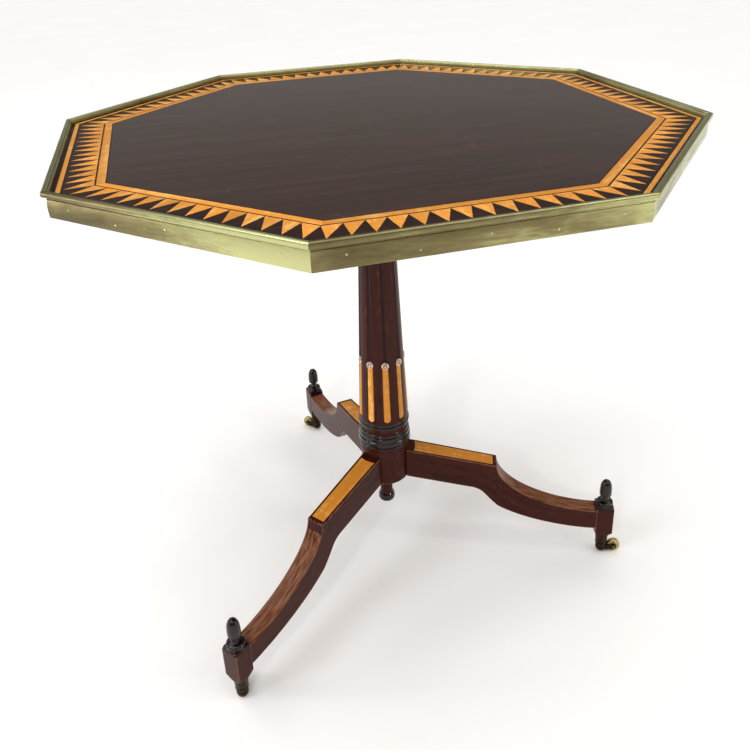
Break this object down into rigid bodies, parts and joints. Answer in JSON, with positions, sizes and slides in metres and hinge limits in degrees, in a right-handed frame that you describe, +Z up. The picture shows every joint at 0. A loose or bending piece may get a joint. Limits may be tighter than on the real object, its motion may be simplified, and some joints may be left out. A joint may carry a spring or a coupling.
{
  "type": "tilt top table",
  "caption": "Octagonal tilt-top table with a marquetry top in a brass rim, on a fluted tapering column with three swept legs on brass castors",
  "frame": {"origin": "On the floor, under the axis of the column and of the octagonal top", "axes": "+Z up; X and Y run square to sides of the octagon; the top hinges about an axis along X at the block's front (-Y) edge"},
  "size_m": [0.804, 0.804, 0.735],
  "materials": {
    "mahogany": "oiled, matt",
    "rosewood": "french polished",
    "satinwood": "french polished",
    "dark_veneer": "high gloss polish",
    "ebonised": "ebonised, polished",
    "bone": "polished bone",
    "aged_brass": "aged, worn bright on the edges",
    "catch_brass": "aged",
    "castor_brass": "aged, brown and green",
    "wheel_brass": "worn bright",
    "iron": "wrought, blackened",
    "steel": "aged"
  },
  "bodies": {
    "pedestal": {"column_block": "mahogany", "pivot_left": "catch_brass", "pivot_right": "catch_brass", "strike_plate": "catch_brass", "column_shaft": "rosewood", "column_capital": "ebonised", "flute_bars": "satinwood", "bar_roundels": "bone", "base_torus": "ebonised", "collar_hollow": "rosewood", "base_collar": "ebonised", "column_drum": "rosewood", "pendant_stem": "rosewood", "pendant_finial": "ebonised", "leg_brace": "iron", "brace_screws": "steel", "leg_front_left": "rosewood", "inlay_front_left": "satinwood", "foot_block_front_left": "rosewood", "foot_finial_front_left": "ebonised", "castor_cup_front_left": "castor_brass", "leg_right": "rosewood", "inlay_right": "satinwood", "foot_block_right": "rosewood", "foot_finial_right": "ebonised", "castor_cup_right": "castor_brass", "leg_back": "rosewood", "inlay_back": "satinwood", "foot_block_back": "rosewood", "foot_finial_back": "ebonised", "castor_cup_back": "castor_brass"},
    "top": {"top_board": "mahogany", "field_veneer": "dark_veneer", "satin_band": "satinwood", "sawtooth_light": "satinwood", "sawtooth_dark": "dark_veneer", "outer_stringing": "satinwood", "dark_lines": "ebonised", "rim_moulding": "aged_brass", "edge_band": "aged_brass", "band_pins": "aged_brass", "bearer_left": "mahogany", "bearer_right": "mahogany", "bearer_screws": "steel", "catch_plate": "catch_brass", "catch_guides": "catch_brass", "catch_screws": "catch_brass"},
    "catch": {"catch_bolt": "catch_brass", "bolt_knob": "catch_brass"},
    "castor_front_left": {"castor_fork_front_left": "castor_brass", "castor_axle_front_left": "castor_brass"},
    "wheel_front_left": {"castor_wheel_front_left": "wheel_brass"},
    "castor_right": {"castor_fork_right": "castor_brass", "castor_axle_right": "castor_brass"},
    "wheel_right": {"castor_wheel_right": "wheel_brass"},
    "castor_back": {"castor_fork_back": "castor_brass", "castor_axle_back": "castor_brass"},
    "wheel_back": {"castor_wheel_back": "wheel_brass"}
  },
  "joints": [
    {"name": "top_tilt", "type": "hinge", "parent": "pedestal", "child": "top", "pos_m": [0, -0.06, 0.6891], "axis": [1, 0, 0], "range_deg": [0, 90]},
    {"name": "catch_slide", "type": "slide", "parent": "top", "child": "catch", "axis": [0, -1, 0], "range_m": [0, 0.011]},
    {"name": "castor_swivel_front_left", "type": "hinge", "parent": "pedestal", "child": "castor_front_left", "pos_m": [-0.27548, -0.21912, 0.018], "axis": [0, 0, 1], "continuous": true},
    {"name": "wheel_spin_front_left", "type": "hinge", "parent": "castor_front_left", "child": "wheel_front_left", "pos_m": [-0.27565, -0.19923, 0.011], "axis": [-1, -0.0087, 0], "continuous": true},
    {"name": "castor_swivel_right", "type": "hinge", "parent": "pedestal", "child": "castor_right", "pos_m": [0.32751, -0.12901, 0.018], "axis": [0, 0, 1], "continuous": true},
    {"name": "wheel_spin_right", "type": "hinge", "parent": "castor_right", "child": "wheel_right", "pos_m": [0.34668, -0.13433, 0.011], "axis": [0.2672, 0.9636, 0], "continuous": true},
    {"name": "castor_swivel_back", "type": "hinge", "parent": "pedestal", "child": "castor_back", "pos_m": [-0.05203, 0.34813, 0.018], "axis": [0, 0, 1], "continuous": true},
    {"name": "wheel_spin_back", "type": "hinge", "parent": "castor_back", "child": "wheel_back", "pos_m": [-0.06598, 0.36233, 0.011], "axis": [-0.7133, -0.7009, 0], "continuous": true}
  ]
}
